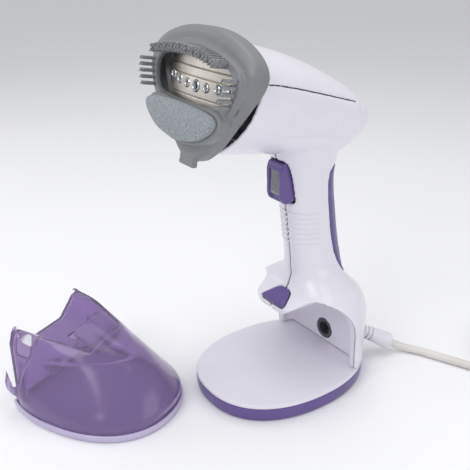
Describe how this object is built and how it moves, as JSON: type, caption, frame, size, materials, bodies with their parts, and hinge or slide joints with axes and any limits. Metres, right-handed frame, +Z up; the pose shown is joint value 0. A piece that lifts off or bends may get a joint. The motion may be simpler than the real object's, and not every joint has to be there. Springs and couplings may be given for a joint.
{
  "type": "handheld garment steamer",
  "caption": "Handheld garment steamer with a brush head, squeeze trigger and push-button release, standing on its oval base beside its lifted-out tinted water tank, with a coiled mains cord.",
  "frame": {"origin": "middle of the base's underside, on the surface it stands on", "axes": "+Z up, the steam head points along -Y, the tank lies detached at -X and -Y, the cord leaves at +Y and +X"},
  "size_m": [0.351, 0.4707, 0.2985],
  "materials": {
    "white_casing": "smooth white moulded plastic",
    "purple_trim": "smooth purple moulded plastic",
    "grey_trim": "satin grey moulded plastic",
    "comb_teeth": "grey nylon",
    "lint_fabric": "directional velour",
    "coated_plate": "pale satin coating",
    "bright_steel": "bright steel",
    "cast_aluminium": "as cast",
    "black_rubber": "matt black rubber",
    "pale_silicone": "pale silicone rubber",
    "tinted_tank": "clear purple-tinted plastic",
    "tank_floor": "pale purple plastic",
    "cord_sheath": "pale soft plastic",
    "dark_plastic": "dark engineering plastic",
    "live_wire": "red-brown insulation"
  },
  "bodies": {
    "stand": {"left_housing": "white_casing", "right_housing": "white_casing", "top_cover": "white_casing", "bay_liner": "white_casing", "base_tray": "white_casing", "handle_strip": "purple_trim", "base_band": "purple_trim", "nozzle_frame": "grey_trim", "steam_plate": "coated_plate", "nozzle_strip": "bright_steel", "base_screw_1": "bright_steel", "base_screw_2": "bright_steel", "base_screw_3": "bright_steel", "housing_screw_1": "bright_steel", "housing_screw_2": "bright_steel", "housing_screw_3": "bright_steel", "housing_screw_4": "bright_steel", "boiler_screw_1": "bright_steel", "boiler_screw_2": "bright_steel", "thermostat": "bright_steel", "thermal_fuse": "bright_steel", "pump_spring": "bright_steel", "trigger_pin": "bright_steel", "trigger_spring": "bright_steel", "latch_pin": "bright_steel", "latch_spring": "bright_steel", "boiler_block": "cast_aluminium", "boiler_cover": "cast_aluminium", "foot_1": "black_rubber", "foot_2": "black_rubber", "foot_3": "black_rubber", "foot_4": "black_rubber", "socket_seal": "black_rubber", "boiler_gasket": "pale_silicone", "inlet_hose": "pale_silicone", "outlet_hose": "pale_silicone", "cord_bush": "cord_sheath", "power_cord": "cord_sheath", "cord_coil": "cord_sheath", "mains_plug": "cord_sheath", "pump_body": "dark_plastic", "tank_socket": "dark_plastic", "micro_switch": "dark_plastic", "terminal_block": "dark_plastic", "cord_clamp": "dark_plastic", "power_lead_neutral": "dark_plastic", "power_lead_live": "live_wire"},
    "trigger": {"trigger": "purple_trim"},
    "trigger_lock": {"trigger_lock": "grey_trim"},
    "release_button": {"release_button": "purple_trim"},
    "brush": {"brush_frame": "grey_trim", "comb_strip": "comb_teeth", "lint_pad": "lint_fabric"},
    "pump_plunger": {"pump_plunger": "bright_steel"},
    "tank": {"tank_shell": "tinted_tank", "tank_base": "tank_floor", "valve_housing": "pale_silicone", "valve_spring": "bright_steel"},
    "filler_cap": {"filler_cap": "pale_silicone"},
    "tank_valve": {"valve_plunger": "bright_steel"}
  },
  "joints": [
    {"name": "trigger_squeeze", "type": "hinge", "parent": "stand", "child": "trigger", "pos_m": [0, -0.003, 0.1985], "axis": [1, 0, 0], "range_deg": [0, 7], "stiffness_Nm_per_rad": 0.6, "springref_deg": -2.86, "deforming": ["trigger_spring"]},
    {"name": "trigger_lock_slide", "type": "slide", "parent": "trigger", "child": "trigger_lock", "axis": [0, 0, -1], "range_m": [0, 0.004]},
    {"name": "release_press", "type": "hinge", "parent": "stand", "child": "release_button", "pos_m": [0, -0.002, 0.0746], "axis": [1, 0, 0], "range_deg": [0, 5], "stiffness_Nm_per_rad": 0.4, "springref_deg": -2.86, "deforming": ["latch_spring"]},
    {"name": "brush_pull", "type": "slide", "parent": "stand", "child": "brush", "axis": [0, -0.9848, 0.1736], "range_m": [0, 0.04]},
    {"name": "pump_stroke", "type": "slide", "parent": "stand", "child": "pump_plunger", "axis": [0, 0, 1], "range_m": [0, 0.002], "stiffness_N_per_m": 900, "deforming": ["pump_spring"]},
    {"name": "tank_lift", "type": "slide", "parent": "stand", "child": "tank", "axis": [0, 0, 1], "range_m": [0, 0.12]},
    {"name": "filler_cap_open", "type": "hinge", "parent": "tank", "child": "filler_cap", "pos_m": [-0.09166, -0.19448, 0.064], "axis": [-0.4384, 0.8988, 0], "range_deg": [-110, 0]},
    {"name": "valve_press", "type": "slide", "parent": "tank", "child": "tank_valve", "axis": [0.8988, 0.4384, 0], "range_m": [0, 0.003], "stiffness_N_per_m": 300, "deforming": ["valve_spring"]}
  ]
}
